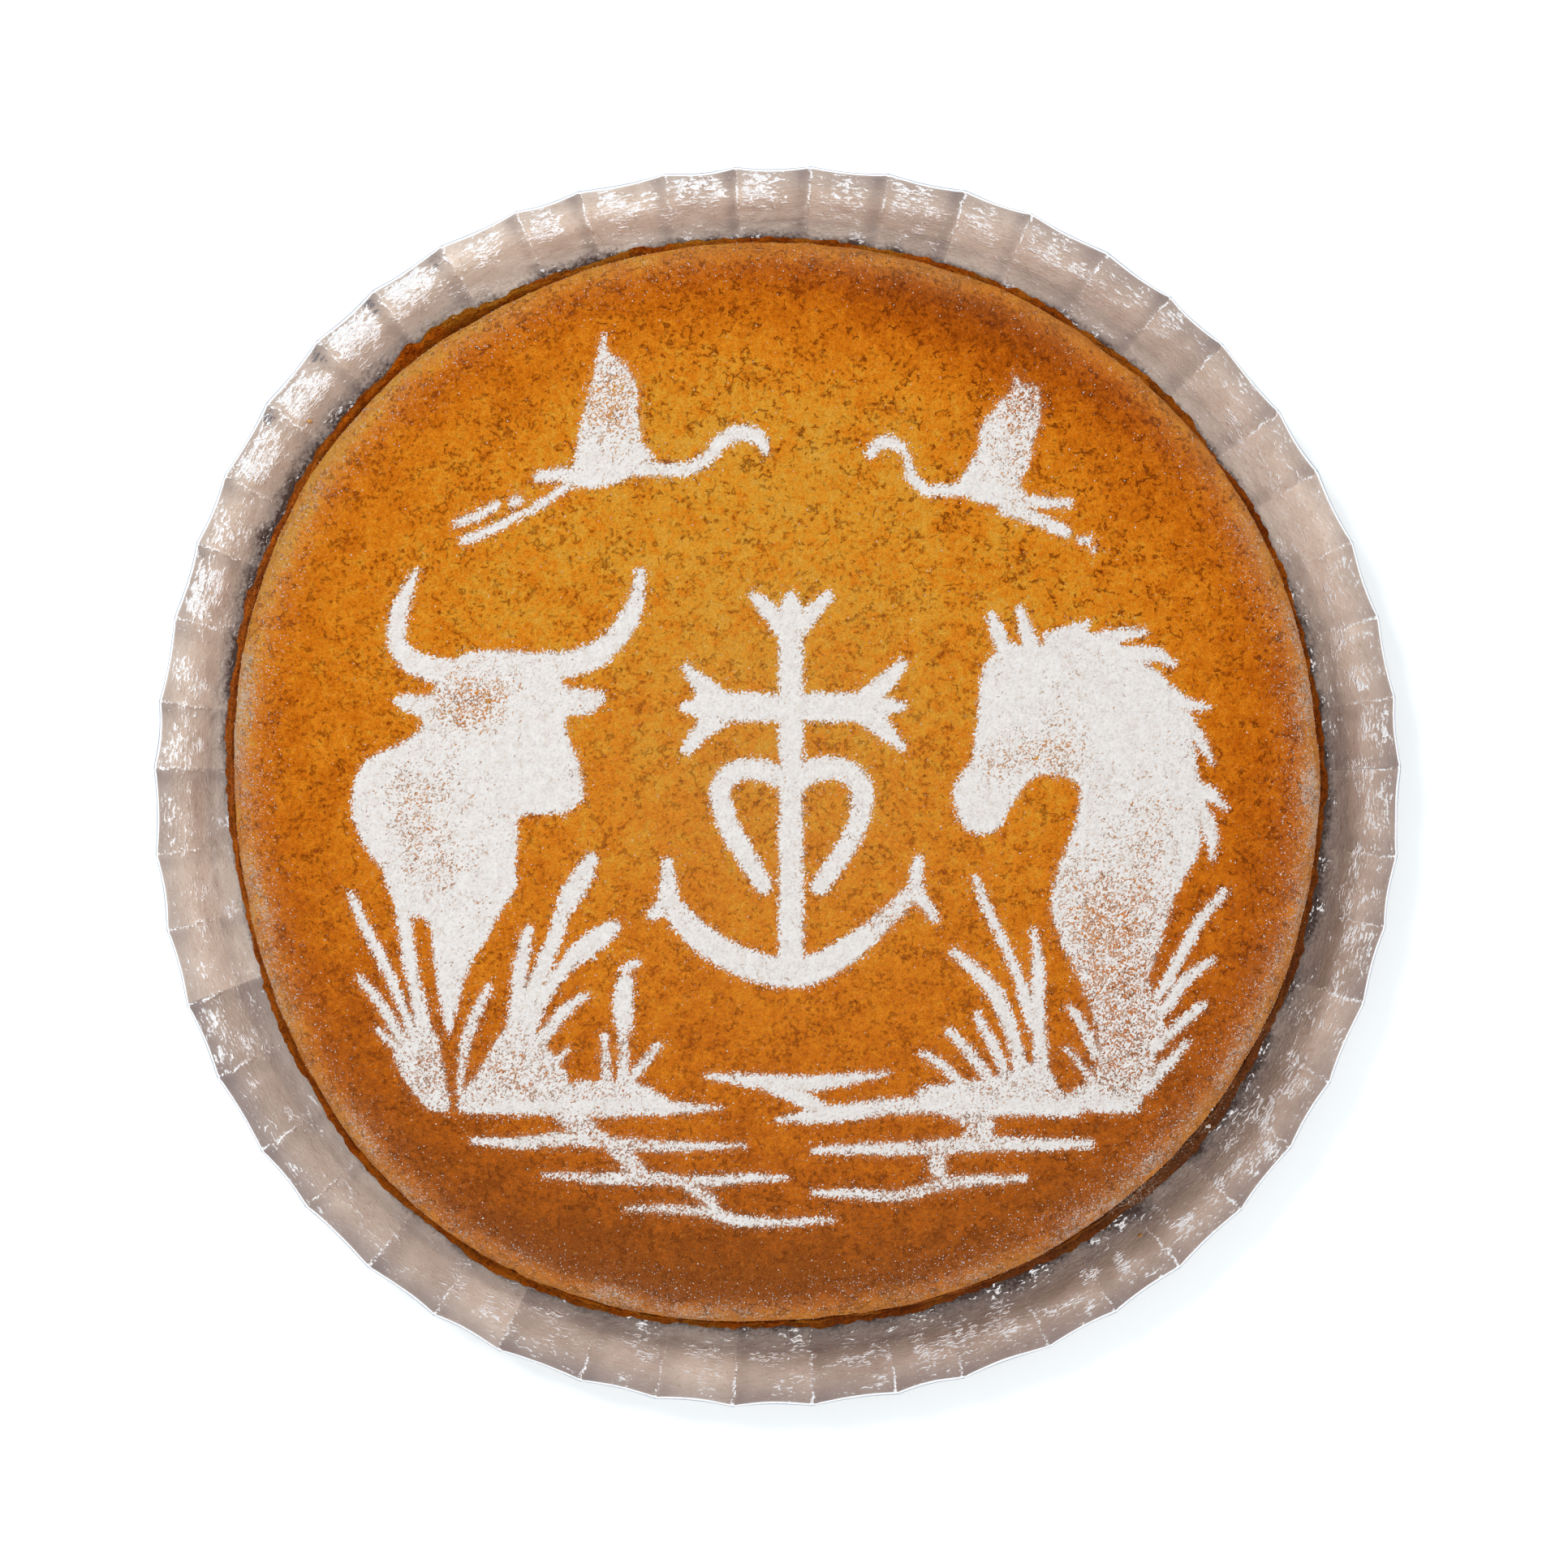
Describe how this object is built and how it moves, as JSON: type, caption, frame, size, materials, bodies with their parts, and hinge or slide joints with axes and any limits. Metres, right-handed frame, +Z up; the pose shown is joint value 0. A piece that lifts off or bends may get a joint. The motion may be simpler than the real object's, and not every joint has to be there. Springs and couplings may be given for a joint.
{
  "type": "round cake in a foil case",
  "caption": "Round shallow domed cake with a browned crust, sugar-dusted top and crusty foot, in its fluted foil-faced card case.",
  "frame": {"origin": "Under the middle of the case, at the height of the surface it stands on.", "axes": "+Z up through the middle of the cake; seen from above, +Y towards the top of the sugar picture and +X to its right."},
  "size_m": [0.2738, 0.2722, 0.0334],
  "materials": {
    "cake_crust": "matte",
    "foil_card": "satin",
    "icing_sugar": "matte"
  },
  "bodies": {
    "root": {"cake": "cake_crust", "foil_case": "foil_card"}
  },
  "joints": []
}
